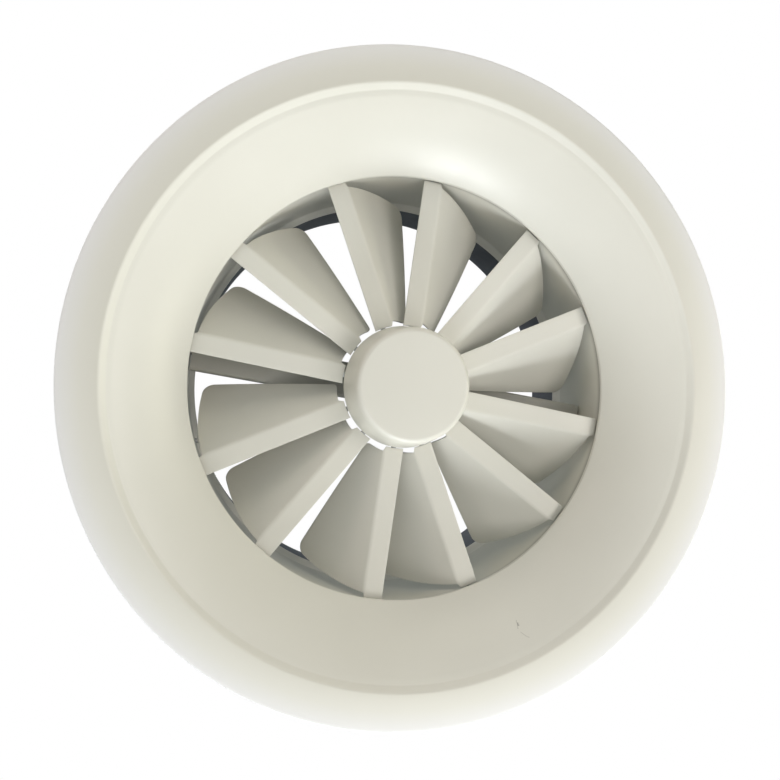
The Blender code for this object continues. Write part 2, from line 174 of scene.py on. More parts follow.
def lathe(name, profile, segments, closed=True, placement=Matrix.Identity(4), angle=35.0):
    """Turns a profile of (radius, height) points about Z."""
    shape = bmesh.new()
    rings = []
    for radius, z in profile:
        if radius < 1e-6:
            rings.append([shape.verts.new((0, 0, z))])
        else:
            rings.append([shape.verts.new((radius * math.cos(2 * math.pi * k / segments),
                                           radius * math.sin(2 * math.pi * k / segments), z))
                          for k in range(segments)])
    pairs = list(zip(rings, rings[1:])) + ([(rings[-1], rings[0])] if closed else [])
    for one, two in pairs:
        for k in range(segments):
            j = (k + 1) % segments
            if len(one) == 1:
                shape.faces.new((one[0], two[k], two[j]))
            elif len(two) == 1:
                shape.faces.new((one[k], two[0], one[j]))
            else:
                shape.faces.new((one[k], two[k], two[j], one[j]))
    bmesh.ops.recalc_face_normals(shape, faces=shape.faces)
    return finish_mesh(new_object(name, shape, placement), angle)


def prism(name, outline, start_x, end_x, placement):
    """A (y, z) outline carried along X, with closed ends."""
    shape = bmesh.new()
    one, two = ([shape.verts.new((x, y, z)) for y, z in outline] for x in (start_x, end_x))
    for k in range(len(outline)):
        j = (k + 1) % len(outline)
        shape.faces.new((one[k], one[j], two[j], two[k]))
    shape.faces.new(one)
    shape.faces.new(two[::-1])
    bmesh.ops.recalc_face_normals(shape, faces=shape.faces)
    return new_object(name, shape, placement)


HOLE_R = 2.3                    # every radial hole: pivots, rivets and crossbar screws


def radial_drill(start, end, z, angle):
    """Cylinder for a radial hole, between two distances from the axis."""
    shape = bmesh.new()
    bmesh.ops.create_cone(shape, cap_ends=True, segments=24, radius1=HOLE_R, radius2=HOLE_R,
                          depth=end - start)
    shape.transform(Matrix.Rotation(angle, 4, "Z")
                    @ Matrix.Translation((0.5 * (start + end), 0, z))
                    @ Matrix.Rotation(math.pi / 2, 4, "Y"))
    return shape


def upright_drill(radius, depth, z):
    """Cylinder for a hole along Z, centred at height z."""
    shape = bmesh.new()
    bmesh.ops.create_cone(shape, cap_ends=True, segments=32, radius1=radius, radius2=radius,
                          depth=depth)
    shape.transform(Matrix.Translation((0, 0, z)))
    return shape


def joined(shapes):
    whole = bmesh.new()
    for shape in shapes:
        mesh = bpy.data.meshes.new("tmp")
        shape.to_mesh(mesh)
        shape.free()
        whole.from_mesh(mesh)
        bpy.data.meshes.remove(mesh)
    return whole


def cut(ob, shapes, angle):
    tool = new_object("tool", joined(shapes))
    modifier = ob.modifiers.new("cut", "BOOLEAN")
    modifier.operation = "DIFFERENCE"
    modifier.solver = "EXACT"
    modifier.object = tool
    ob = baked(ob)
    bpy.data.objects.remove(tool, do_unlink=True)
    return finish_mesh(ob, angle)


def add_line(curve, points, cyclic=False):
    spline = curve.splines.new("POLY")
    spline.points.add(len(points) - 1)
    for target, point in zip(spline.points, points):
        x, y, z = point.to_3d()
        target.co = (x * MM, y * MM, z * MM, 1)
    spline.use_cyclic_u = cyclic


def welded(ob):
    """A curve object baked to a mesh with its seams merged."""
    ob = baked(ob)
    shape = bmesh.new()
    shape.from_mesh(ob.data)
    bmesh.ops.remove_doubles(shape, verts=shape.verts, dist=1e-6)
    bmesh.ops.recalc_face_normals(shape, faces=shape.faces)
    shape.to_mesh(ob.data)
    shape.free()
    return ob


# ------------------------------------------------------------- shader tools
class Graph:
    """Fills one node tree; an input may be given a number, a colour or another socket."""

    def __init__(self, tree):
        self.tree = tree
        tree.nodes.clear()

    def feed(self, node, inputs):
        for key, value in inputs.items():
            socket = node.inputs[key]
            if isinstance(value, bpy.types.NodeSocket):
                self.tree.links.new(value, socket)
            else:
                socket.default_value = (*value, 1.0) if socket.type == "RGBA" else value

    def add(self, kind, inputs=None, **settings):
        node = self.tree.nodes.new("ShaderNode" + kind)
        for key, value in settings.items():
            setattr(node, key, value)
        self.feed(node, inputs or {})
        return node

    def maths(self, operation, first, second=None, clamp=False):
        inputs = {0: first} if second is None else {0: first, 1: second}
        return self.add("Math", inputs, operation=operation, use_clamp=clamp).outputs[0]

    def times(self, first, second, clamp=False):
        return self.maths("MULTIPLY", first, second, clamp)

    def span(self, value, reads, gives=(0.0, 1.0)):
        """Maps the range it reads onto the range it gives, clamped."""
        return self.add("MapRange", {"From Min": reads[0], "From Max": reads[1],
                                     "To Min": gives[0], "To Max": gives[1],
                                     "Value": value}).outputs["Result"]

    def ramp(self, value, stops):
        """Colour ramp from (position, colour) stops."""
        node = self.add("ValToRGB", {"Fac": value})
        elements = node.color_ramp.elements
        while len(elements) < len(stops):
            elements.new(0.5)
        for element, (position, colour) in zip(elements, stops):
            element.position = position
            element.color = (*colour, 1.0)
        return node.outputs["Color"]

    def mix(self, amount, base, top):
        return self.add("Mix", {0: amount, 6: base, 7: top}, data_type="RGBA").outputs[2]


class Surface(Graph):
    """A Principled material whose textures follow the object's coordinates, in metres."""

    def __init__(self, name):
        self.material = bpy.data.materials.new(name)
        self.material.use_nodes = True
        super().__init__(self.material.node_tree)
        output = self.add("OutputMaterial")
        self.shader = self.add("BsdfPrincipled")
        self.feed(output, {0: self.shader.outputs[0]})
        self.coords = self.add("TexCoord").outputs["Object"]
        self.normal = None

    def shade(self, inputs):
        self.feed(self.shader, inputs)

    def noise(self, scale, detail=3.0, rough=0.5):
        return self.add("TexNoise", {"Scale": scale, "Detail": detail, "Roughness": rough,
                                     "Vector": self.coords}).outputs["Fac"]

    def xyz(self):
        return self.add("SeparateXYZ", {0: self.coords}).outputs

    def distance(self, x, y):
        squares = self.maths("ADD", self.times(x, x), self.times(y, y))
        return self.maths("SQRT", squares)

    def stain(self, colour, pattern, reads, amount, tint):
        """Tints the colour by up to the amount where the pattern is high."""
        return self.mix(self.span(pattern, reads, gives=(0.0, amount)), colour, tint)

    def wear_and_shade(self, colour, reads, amount, tint, clamp=False):
        """Tints raised edges as wear, or darkens hollows as painted shade when the range it reads
        runs downward.
        """
        pointiness = self.add("NewGeometry").outputs["Pointiness"]
        return self.mix(self.times(self.span(pointiness, reads), amount, clamp), colour, tint)

    def bump(self, height, strength, distance):
        """Adds a bump layer on top of those already there."""
        inputs = {"Strength": strength, "Distance": distance, "Height": height}
        if self.normal is not None:
            inputs["Normal"] = self.normal
        self.normal = self.add("Bump", inputs).outputs["Normal"]
        self.shade({"Normal": self.normal})


# ----------------------------------------------------------------- materials
def scuff_mask(coat, centre, radius, width, start, end):
    """Mask of a short curved scratch: an arc in plan about a centre, between two angles."""
    face_top = 0.045            # nothing is marked above this height
    across, along, z = coat.xyz()
    x = coat.maths("SUBTRACT", across, centre[0])
    y = coat.maths("SUBTRACT", along, centre[1])
    away = coat.distance(x, y)
    wobble = coat.times(coat.maths("SUBTRACT", coat.noise(scale=500.0, detail=2.0), 0.5),
                        width * 2.5)
    off = coat.maths("ADD", coat.maths("SUBTRACT", away, radius), wobble)
    line = coat.span(coat.maths("ABSOLUTE", off), reads=(width, 0.0))
    angle = coat.maths("ARCTAN2", y, x)
    gate = coat.times(coat.maths("GREATER_THAN", angle, start),
                      coat.maths("LESS_THAN", angle, end))
    low = coat.maths("LESS_THAN", z, face_top)
    return coat.times(coat.times(line, gate), low, clamp=True)


# arc centre, arc radius, half width, start angle, end angle (radians), darkness
FACE_SCUFFS = [
    ((0.0542, 0.1710), 0.0202, 0.00030, -0.15, 0.12, 0.55),
    ((0.0546, 0.1710), 0.0202, 0.00085, -0.07, 0.03, 0.62),
    ((0.08396, 0.1685), 0.0106, 0.00042, 1.83, 2.45, 0.34),
]


def face_painted_light_and_scuffs(coat, colour):
    """Flat ring darker beside the step as painted shade, lighter and cooler out to the rim as
    painted highlight and cool light; scuffs.
    """
    x, y, z = coat.xyz()
    away = coat.distance(x, y)
    # painted shade near the step, painted highlight and cool light toward the rim
    tone = coat.ramp(coat.span(away, reads=(0.2095, 0.2350)),
                     [(0.0, (0.70, 0.68, 0.605)), (0.45, (0.755, 0.738, 0.675)),
                      (1.0, (0.83, 0.82, 0.82))])
    ring_top = 0.0015
    flat_ring = coat.times(coat.span(away, reads=(0.2085, 0.2100)),
                           coat.maths("LESS_THAN", z, ring_top), clamp=True)
    painted_light_amount = 0.9
    colour = coat.mix(coat.times(flat_ring, painted_light_amount), colour, tone)
    for *arc, darkness in FACE_SCUFFS:
        mask = scuff_mask(coat, *arc)
        colour = coat.mix(coat.times(mask, darkness), colour, (0.16, 0.15, 0.13))
    return colour


def tube_painted_shade(coat, colour):
    """Painted shade low on the inside of the neck, darkest in the crevice behind the throat; the
    lip at its upper end is tinted lighter, a painted highlight.
    """
    seam, fade = 0.0496, 0.0070         # height of the darkest painted shade, and how far it fades
    ripple = 0.0012                     # unevenness of its upper limit
    shade_amount = 0.75
    inside_radius = 0.1586
    x, y, z = coat.xyz()
    height = coat.maths("ADD", z, coat.times(coat.noise(scale=90.0), ripple))
    low = coat.span(height, reads=(seam + fade, seam))
    inside = coat.maths("LESS_THAN", coat.distance(x, y), inside_radius)
    low = coat.times(coat.times(low, low), inside)
    # painted highlight: the lip is tinted lighter than the neck around it
    lip = coat.times(coat.span(z, reads=(0.1232, 0.1246)), inside)
    colour = coat.mix(lip, colour, (0.85, 0.83, 0.77))
    # painted shade: the low band darkens toward the throat
    return coat.mix(coat.times(low, shade_amount, clamp=True), colour, (0.20, 0.185, 0.155))


def paint(name, light=(0.775, 0.758, 0.690), dark=(0.735, 0.718, 0.648), rough=0.36,
          painted_light_and_marks=None):
    """Powder coat; the last argument is a function that adds painted light and shade, and marks,
    to the colour.
    """
    coat = Surface(name)
    colour = coat.ramp(coat.noise(scale=6.0), [(0.35, dark), (0.65, light)])
    # fine flecks of the cured powder
    colour = coat.stain(colour, coat.noise(scale=2200.0, detail=2.0, rough=0.7),
                        reads=(0.55, 0.8), amount=0.10, tint=(0.60, 0.585, 0.52))
    # thin, slightly dusty edges, then hollows darkened as painted shade
    colour = coat.wear_and_shade(colour, reads=(0.515, 0.56), amount=0.10, tint=(0.86, 0.85, 0.80))
    colour = coat.wear_and_shade(colour, reads=(0.488, 0.46), amount=0.22, tint=(0.52, 0.50, 0.44),
                       clamp=True)
    if painted_light_and_marks:
        colour = painted_light_and_marks(coat, colour)
    coat.shade({"Base Color": colour, "IOR": 1.5,
                "Roughness": coat.span(coat.noise(scale=40.0, detail=4.0), reads=(0.3, 0.7),
                                       gives=(rough - 0.03, rough + 0.05))})
    # a slow wave under the orange peel
    coat.bump(coat.noise(scale=26.0, detail=2.0), strength=0.10, distance=0.0006)
    coat.bump(coat.noise(scale=620.0, detail=2.0, rough=0.55), strength=0.16,
              distance=0.00012)
    return coat.material


def slate(name):
    coat = Surface(name)
    colour = coat.ramp(coat.noise(scale=9.0, detail=4.0),
                       [(0.3, (0.088, 0.094, 0.116)), (0.7, (0.118, 0.124, 0.147))])
    colour = coat.stain(colour, coat.noise(scale=1500.0, detail=2.0, rough=0.7),
                        reads=(0.58, 0.8), amount=0.25, tint=(0.11, 0.12, 0.14))
    colour = coat.wear_and_shade(colour, reads=(0.52, 0.58), amount=0.35, tint=(0.20, 0.21, 0.22))
    coat.shade({"Base Color": colour,
                "Roughness": coat.span(coat.noise(scale=60.0), reads=(0.3, 0.7),
                                       gives=(0.46, 0.62))})
    coat.bump(coat.noise(scale=900.0, detail=2.0), strength=0.25, distance=0.00015)
    return coat.material


def galvanised(name):
    """Zinc spangle: ragged cells of differing tone."""
    zinc = Surface(name)
    ragged = zinc.add("TexNoise", {"Scale": 220.0, "Vector": zinc.coords}).outputs["Color"]
    warp = zinc.add("VectorMath", {0: ragged, 1: (0.004, 0.004, 0.004), 2: zinc.coords},
                    operation="MULTIPLY_ADD").outputs[0]
    cells = zinc.add("TexVoronoi", {"Scale": 130.0, "Vector": warp})
    tone = zinc.add("SeparateColor", {0: cells.outputs["Color"]}).outputs[0]
    colour = zinc.ramp(tone, [(0.0, (0.40, 0.42, 0.43)), (1.0, (0.60, 0.62, 0.64))])
    colour = zinc.stain(colour, zinc.noise(scale=14.0, detail=4.0), reads=(0.45, 0.75),
                        amount=0.5, tint=(0.46, 0.475, 0.48))
    zinc.shade({"Base Color": colour, "Metallic": 0.95,
                "Roughness": zinc.span(tone, reads=(0.0, 1.0), gives=(0.34, 0.52))})
    zinc.bump(tone, strength=0.05, distance=0.0002)
    zinc.bump(zinc.noise(scale=700.0), strength=0.08, distance=0.0001)
    return zinc.material


def metal(name, light, dark, rough, turned=900.0):
    """Bare metal with fine lines stacked along Z; turned is how closely they lie."""
    bare = Surface(name)
    lines = bare.add("TexNoise", {"Scale": turned, "Detail": 4.0, "W": bare.xyz()[2]},
                     noise_dimensions="1D").outputs["Fac"]
    colour = bare.ramp(bare.noise(scale=55.0, detail=4.0), [(0.3, dark), (0.7, light)])
    colour = bare.wear_and_shade(colour, reads=(0.52, 0.60), amount=0.35,
                       tint=tuple(min(1.0, 1.2 * channel) for channel in light))
    bare.shade({"Base Color": colour, "Metallic": 1.0,
                "Roughness": bare.span(bare.noise(scale=320.0), reads=(0.3, 0.7),
                                       gives=(rough - 0.06, rough + 0.10))})
    bare.bump(lines, strength=0.10, distance=0.00008)
    bare.bump(bare.noise(scale=1100.0, detail=2.0), strength=0.06, distance=0.00006)
    return bare.material


def rubber(name):
    skin = Surface(name)
    colour = skin.ramp(skin.noise(scale=30.0, detail=4.0),
                       [(0.3, (0.018, 0.018, 0.019)), (0.7, (0.034, 0.034, 0.035))])
    bloom = skin.noise(scale=8.0, detail=5.0, rough=0.6)
    colour = skin.stain(colour, bloom, reads=(0.5, 0.8), amount=0.25, tint=(0.10, 0.10, 0.10))
    skin.shade({"Base Color": colour,
                "Roughness": skin.span(bloom, reads=(0.3, 0.7), gives=(0.55, 0.75))})
    skin.bump(skin.noise(scale=1500.0), strength=0.2, distance=0.0001)
    return skin.material


def foam(name):
    skin = Surface(name)
    cell = skin.add("TexVoronoi", {"Scale": 950.0, "Vector": skin.coords}).outputs["Distance"]
    colour = skin.ramp(cell, [(0.0, (0.035, 0.035, 0.037)), (0.6, (0.115, 0.115, 0.120))])
    colour = skin.stain(colour, skin.noise(scale=18.0), reads=(0.4, 0.7), amount=0.4,
                        tint=(0.15, 0.15, 0.155))
    skin.shade({"Base Color": colour, "Roughness": 0.92})
    skin.bump(cell, strength=0.7, distance=0.0004)
    skin.bump(skin.noise(scale=160.0), strength=0.25, distance=0.0006)
    return skin.material


MATERIALS = {
    "face": paint("powder_coat_face", painted_light_and_marks=face_painted_light_and_scuffs),
    "paint": paint("powder_coat_white"),
    # a darker, warmer copy of the white powder coat, as painted shade for the inside of the neck
    "neck": paint("powder_coat_tube_painted_shade", light=(0.725, 0.703, 0.625), dark=(0.685, 0.662, 0.585),
                  painted_light_and_marks=tube_painted_shade),
    # the white powder coat painted dark grey, as painted shade for the crossbar deep behind the
    # vanes
    "bar": paint("powder_coat_bar_painted_shade", light=(0.40, 0.39, 0.35), dark=(0.34, 0.33, 0.295),
                 rough=0.5),
    "slate": slate("slate_coat_matt"),
    "galv": galvanised("galvanised_sheet"),
    "zinc": metal("zinc_plate", light=(0.62, 0.63, 0.65), dark=(0.48, 0.49, 0.51), rough=0.30),
    "spring": metal("spring_steel_blued", light=(0.33, 0.33, 0.36), dark=(0.20, 0.20, 0.23),
                    rough=0.28),
    "alloy": metal("cast_alloy_turned", light=(0.70, 0.71, 0.72), dark=(0.56, 0.57, 0.58),
                   rough=0.36, turned=1400.0),
    "rubber": rubber("black_rubber"),
    "foam": foam("cell_foam"),
}


def dress(ob, material, body, node=None):
    """Gives an object its material and tells the frame what it rides on and stands for."""
    ob.data.materials.clear()
    ob.data.materials.append(MATERIALS[material])
    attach(ob, body)
    if node:
        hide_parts(node)


# --------------------------------------------------------------- face nozzle
# One sheet: a shallow dished flange, a crest, a step, then a bell narrowing up to the throat.
nozzle_high = box_mm("face_nozzle")[1]
FACE_R = nozzle_high.x
SHEET = 1.5
RIM_Z, RIM_LAND = 0.8, 1.2      # rise of the flange at the rim; width of its last strip
CREST_R, CREST_RUN = 209.6, 3.0
STEP_R, STEP_Z = 204.2, 3.5
THROAT_R, THROAT_Z, THROAT_TOP = 156.2, 42.2, nozzle_high.z + 1.4
BELL_START, BELL_END = math.radians(23.0), math.radians(54.0)     # slopes of the bell's ends
BELL_REACH = 21.0               # length of the bell curve's handles


def flange_z(radius):
    return RIM_Z * (max(0.0, radius - CREST_R) / (FACE_R - CREST_R)) ** 2


def offset_line(line, distance):
    shifted = []
    for i, point in enumerate(line):
        before, after = Vector(line[max(0, i - 1)]), Vector(line[min(len(line) - 1, i + 1)])
        tangent = (after - before).normalized()
        shifted.append((point[0] + distance * tangent.y, point[1] - distance * tangent.x))
    return shifted


def bell_curve():
    """Cubic from the step to the throat, as (radius, z)."""
    handles = [(STEP_R, STEP_Z),
               (STEP_R - BELL_REACH * math.cos(BELL_START),
                STEP_Z + BELL_REACH * math.sin(BELL_START)),
               (THROAT_R + BELL_REACH * math.cos(BELL_END),
                THROAT_Z - BELL_REACH * math.sin(BELL_END)),
               (THROAT_R, THROAT_Z)]
    points = []
    for k in range(41):
        t = k / 40.0
        weights = ((1 - t) ** 3, 3 * t * (1 - t) ** 2, 3 * t * t * (1 - t), t ** 3)
        points.append(tuple(sum(weight * handle[axis] for weight, handle in zip(weights, handles))
                            for axis in range(2)))
    return points


def nozzle_profile():
    flat = [FACE_R - RIM_LAND - (FACE_R - RIM_LAND - CREST_R - CREST_RUN) * k / 14
            for k in range(15)]
    front = [(FACE_R, RIM_Z + 0.2)] + [(radius, flange_z(radius)) for radius in flat]
    bell = bell_curve()
    crest_start = CREST_R + CREST_RUN
    front += rounded([(crest_start, flange_z(crest_start), 0), (208.9, 0.0, 3.6),
                      (205.0, STEP_Z, 3.0), (201.4, 4.65, 18.0), (*bell[5], 0)],
                     8, closed=False)[1:-1]
    front += bell[5:-1]
    front += rounded([(*bell[-2], 0), (*bell[-1], 0.9), (THROAT_R, THROAT_TOP, 0)],
                     4, closed=False)[1:]
    back = offset_line(front, SHEET)
    back[0] = (FACE_R, RIM_Z + SHEET)
    back[1] = (FACE_R - RIM_LAND, back[1][1])
    back[-1] = (THROAT_R + SHEET, THROAT_TOP)
    back[-2] = (THROAT_R + SHEET, THROAT_Z + 0.6)
    corners = [(radius, z, 0) for radius, z in front + back[::-1]]
    for i, corner in ((0, 0.6), (-1, 0.6), (len(front) - 1, 0.4), (len(front), 0.4)):
        corners[i] = (*corners[i][:2], corner)
    return rounded(corners, 4)


nozzle = lathe("nozzle_shell", nozzle_profile(), 288, angle=50.0)

# ------------------------------------------------- neck, spigot, band, seals
low, high = box_mm("neck_shell")
NECK_TOP, NECK_OUT, NECK_IN = high.z, 159.3, 158.1
bar_low, bar_high = box_mm("crossbar")
BAR_ANGLES = [math.radians(10.0) + math.pi * k for k in range(2)]       # its two ends
BAR_Z = bar_low.z
SCREW_Z = BAR_Z + 9.5
rivet_low, rivet_high = box_mm("neck_band_rivet_1")
RIVET_Z = 0.5 * (rivet_low.z + rivet_high.z)
RIVET_ANGLES = [math.radians(45 + 120 * k) for k in range(3)]
# from here on, a rounded corner is (radius, z, corner radius)
neck = lathe("neck_tube", rounded([
    (NECK_OUT, NECK_TOP, 0.5), (NECK_OUT, low.z, 0.35), (NECK_IN, low.z, 0.35),
    (NECK_IN, NECK_TOP - 6.6, 5.0), (153.85, NECK_TOP - 1.2, 2.0), (153.85, NECK_TOP, 0.4)], 6),
    288, angle=50.0)
rivet_drills = [(150.0, 165.0, RIVET_Z, angle) for angle in RIVET_ANGLES]
neck_drills = [(150.0, 165.0, PIVOT_Z, direction(vane)) for vane in VANES]
neck_drills += [(150.0, 165.0, SCREW_Z, angle) for angle in BAR_ANGLES]
neck = cut(neck, [radial_drill(*drill) for drill in neck_drills + rivet_drills], 50.0)

low, high = box_mm("spigot_collar")
collar = lathe("spigot_tube", rounded([
    (157.1, high.z, 0.65), (157.1, low.z, 0.3), (155.7, low.z, 0.3), (155.7, high.z, 0.65)]),
    288, angle=50.0)

low, high = box_mm("neck_band")
BAND_R = high.x
BAND_EDGE_R = BAND_R - 0.5
band_points = [
    (BAND_EDGE_R, high.z), (BAND_EDGE_R, high.z - 1.6), (BAND_R, high.z - 2.2),
    (BAND_R, low.z + 2.2), (BAND_EDGE_R, low.z + 1.6), (BAND_EDGE_R, low.z), (159.6, low.z),
    (159.6, NECK_TOP + 0.5), (157.5, NECK_TOP + 1.8), (157.5, high.z)]
band = lathe("joint_band", rounded([(*point, 0.3) for point in band_points], 3), 288, angle=50.0)
band = cut(band, [radial_drill(*drill) for drill in rivet_drills], 50.0)

low, high = box_mm("spigot_lip_seal")
SEAL_OUT, SEAL_IN = 158.70, 157.40
seal_top = high.z
# a sleeve with two lips that lean outward and down
seal = lathe("lip_seal", rounded([
    (SEAL_OUT, seal_top, 0.5), (SEAL_OUT, seal_top - 4.6, 0.8), (159.80, seal_top - 6.6, 1.5),
    (161.55, seal_top - 8.0, 0.3), (161.25, seal_top - 8.7, 0.3), (159.30, seal_top - 8.0, 0.6),
    (SEAL_OUT, seal_top - 7.6, 0.4), (SEAL_OUT, seal_top - 10.6, 0.8),
    (159.80, seal_top - 12.6, 1.5), (161.55, seal_top - 14.0, 0.3),
    (161.25, seal_top - 14.7, 0.3), (159.30, seal_top - 14.0, 0.6),
    (SEAL_OUT, seal_top - 13.6, 0.4), (SEAL_OUT, low.z, 0.5), (SEAL_IN, low.z, 0.3),
    (SEAL_IN, seal_top, 0.3)], 4), 288, angle=50.0)

# foam strip lying on the upper side of the flange
high = box_mm("ceiling_gasket")[1]
FOAM_OUT, FOAM_IN = high.x, 220.0
FOAM_MID = 0.5 * (FOAM_IN + FOAM_OUT)
gasket = lathe("foam_strip", rounded([
    (FOAM_OUT, high.z, 0.8), (FOAM_OUT, flange_z(FOAM_OUT) + SHEET + 0.35, 0.3),
    (FOAM_MID, flange_z(FOAM_MID) + SHEET + 0.3, 0),
    (FOAM_IN, flange_z(FOAM_IN) + SHEET + 0.3, 0.3), (FOAM_IN, high.z, 0.8)], 4),
    288, angle=50.0)

# domed rivet: (radius about its own axis, distance from Z)
RIVET_PROFILE = [
    (0, 163.1), (0.9, 163.05), (1.9, 162.75), (2.8, 162.2), (3.4, 161.6), (3.6, 161.25),
    (3.45, 161.1), (2.0, 161.1), (2.0, 157.2), (1.7, 157.0), (0, 157.0)]
rivets = [lathe("band_rivet_%d" % k, RIVET_PROFILE, 40, closed=False,
                placement=outward(angle, RIVET_Z), angle=60.0)
          for k, angle in enumerate(RIVET_ANGLES, 1)]

# ------------------------------------------------------------------ crossbar
# A channel open upward, with an upright tab across the inside of each end.
BAR_W, BAR_H, BAR_T, BAR_HALF = 27.4, bar_high.z - bar_low.z, 2.0, 156.4
BAR_Y = BAR_W / 2
BAR_IN_Y = BAR_Y - BAR_T
TAB_GAP, TAB_CORNER = 0.15, 3.0
channel_section = rounded([             # (y, z, corner radius)
    (-BAR_Y, BAR_H, 0.5), (-BAR_Y, 0, 2.6), (BAR_Y, 0, 2.6), (BAR_Y, BAR_H, 0.5),
    (BAR_IN_Y, BAR_H, 0.5), (BAR_IN_Y, BAR_T, 0.8), (-BAR_IN_Y, BAR_T, 0.8),
    (-BAR_IN_Y, BAR_H, 0.5)])
bar = prism("cross_channel", channel_section, -BAR_HALF, BAR_HALF, about(BAR_ANGLES[0], BAR_Z))
bar = cut(bar, [upright_drill(radius=3.4, depth=8.0, z=BAR_Z + 1.0)], 40.0)


def tab_outline():
    """Plate with its two upper corners rounded, as (y, z)."""
    side, foot = BAR_IN_Y - TAB_GAP, BAR_T + TAB_GAP
    arc_y, arc_z = side - TAB_CORNER, BAR_H - 0.3 - TAB_CORNER
    step = math.pi / 12
    return ([(-side, foot), (side, foot), (side, arc_z)]
            + [(arc_y + TAB_CORNER * math.cos(k * step), arc_z + TAB_CORNER * math.sin(k * step))
               for k in range(1, 7)]
            + [(-arc_y - TAB_CORNER * math.sin(k * step), arc_z + TAB_CORNER * math.cos(k * step))
               for k in range(7)])


tabs = []
for k, angle in enumerate(BAR_ANGLES, 1):
    tab = prism("cross_channel_tab_%d" % k, tab_outline(), BAR_HALF, BAR_HALF - BAR_T,
                about(angle, BAR_Z))
    tabs.append(cut(tab, [radial_drill(140.0, 165.0, SCREW_Z, angle)], 40.0))

# pan-head screw: (radius about its own axis, distance from Z)
PAN_SCREW_PROFILE = [
    (0, 162.5), (1.4, 162.4), (2.8, 162.0), (3.8, 161.1), (4.2, 160.1), (4.2, 159.65),
    (2.0, 159.6), (2.0, 151.0), (1.2, 149.6), (0, 149.6)]
RECESS_R, RECESS_SIZE = 162.5, (3.0, 0.9, 4.4, 1.0)     # one of the two crossed slots
bar_screws = []
for k, angle in enumerate(BAR_ANGLES, 1):
    bar_screw = lathe("cross_screw_%d" % k, PAN_SCREW_PROFILE, 40, closed=False,
                      placement=outward(angle, SCREW_Z), angle=50.0)
    for quarter in range(2):
        recess = bmesh.new()
        bmesh.ops.create_cube(recess, size=1.0)
        recess.transform(about(angle, SCREW_Z) @ Matrix.Translation((RECESS_R, 0, 0))
                         @ Matrix.Rotation(quarter * math.pi / 2, 4, "X")
                         @ Matrix.Diagonal(RECESS_SIZE))
        bar_screw = cut(bar_screw, [recess], 50.0)
    bar_screws.append(bar_screw)

# ----------------------------------------------------------------------- hub
low, high = box_mm("hub_cap")
CAP_Z, CAP_R = low.z, high.x
cap = lathe("hub_cover", rounded([
    (0, CAP_Z, 0), (40.0, CAP_Z, 3.8), (41.8, CAP_Z + 5.4, 12.0), (CAP_R, high.z, 0.6),
    (CAP_R - 1.5, high.z, 0.4), (40.3, CAP_Z + 5.8, 10.0), (38.9, CAP_Z + 1.5, 2.5),
    (0, CAP_Z + 1.5, 0)], 12, closed=False), 192, closed=False, angle=50.0)

low, high = box_mm("hub_drum")
DRUM_TOP, DRUM_R, DRUM_T = high.z, 40.0, 1.5
BOSS_R, BOSS_Z, BORE_R = 10.0, 48.8, 3.6
drum = lathe("hub_body", rounded([
    (DRUM_R, DRUM_TOP, 1.8), (DRUM_R, low.z, 0.6), (DRUM_R - DRUM_T, low.z, 0.6),
    (DRUM_R - DRUM_T, DRUM_TOP - DRUM_T, 0.8), (BOSS_R, DRUM_TOP - DRUM_T, 0.8),
    (BOSS_R, BOSS_Z, 0.7), (BORE_R, BOSS_Z, 0.4), (BORE_R, DRUM_TOP, 0.4)], 4), 160, angle=45.0)
drum = cut(drum, [radial_drill(36.0, 43.0, PIVOT_Z, direction(vane)) for vane in VANES], 45.0)

spacer = lathe("hub_distance_tube",
               ring_section(8.5, BORE_R, BAR_Z - 0.3, DRUM_TOP + 0.3, corner=0.5), 64)
screw = lathe("hub_screw", rounded([
    (0, 94.2, 0), (2.4, 94.2, 0.2), (3.0, 93.4, 0), (3.0, 46.9, 0), (6.2, 46.9, 0.3),
    (6.2, 41.4, 0.9), (3.2, 41.4, 0.3), (3.2, 44.2, 0), (0, 45.0, 0)], 4, closed=False),
    48, closed=False, angle=40.0)
washer = lathe("hub_washer", ring_section(8.5, 3.3, 48.5, 47.2, corner=0.25), 64)

NUT_R, NUT_BORE, NUT_CHAMFER, NUT_END = 6.2, 3.3, 0.5, 0.93     # NUT_END scales the end faces


def hex_nut():
    low, high = box_mm("crossbar_nut")
    shape = bmesh.new()
    rings = []
    for z, scale in ((low.z, NUT_END), (low.z + NUT_CHAMFER, 1.0), (high.z - NUT_CHAMFER, 1.0),
                     (high.z, NUT_END)):
        rings.append([shape.verts.new((NUT_R * math.cos(math.pi * k / 3) * scale,
                                       NUT_R * math.sin(math.pi * k / 3) * scale, z))
                      for k in range(6)])
    for one, two in zip(rings, rings[1:]):
        for k in range(6):
            shape.faces.new((one[k], one[(k + 1) % 6], two[(k + 1) % 6], two[k]))
    shape.faces.new(rings[0][::-1])
    shape.faces.new(rings[-1])
    bore = upright_drill(radius=NUT_BORE, depth=12.0, z=0.5 * (low.z + high.z))
    return cut(new_object("cross_nut", shape), [bore], 30.0)


nut = hex_nut()

CLIP_R, CLIP_BULGE, CLIP_W, CLIP_Z, CLIP_H = 40.4, 1.35, 8.0, 37.0, 10.0


def cap_clip(name, angle):
    """Upright spring leaf, bowed outward and narrowed at its ends."""
    shape = bmesh.new()
    bmesh.ops.create_grid(shape, x_segments=10, y_segments=28, size=0.5)
    for vert in shape.verts:
        side, rise = vert.co.x, vert.co.y + 0.5
        bulge = CLIP_BULGE * math.sin(math.pi * rise)
        narrow = 1.0 - 0.18 * (2 * abs(rise - 0.5)) ** 6
        vert.co = Vector((CLIP_R + bulge, CLIP_W * side * narrow, CLIP_Z + CLIP_H * rise))
    clip = new_object(name, shape, about(angle))
    thicken(clip, thickness=0.4, offset=0.0)
    soften(clip, width=0.1, segments=2)
    return finish_mesh(baked(clip), 45.0)


clips = [cap_clip("cap_spring_%d" % (k + 1), math.radians(25 + 120 * k)) for k in range(3)]

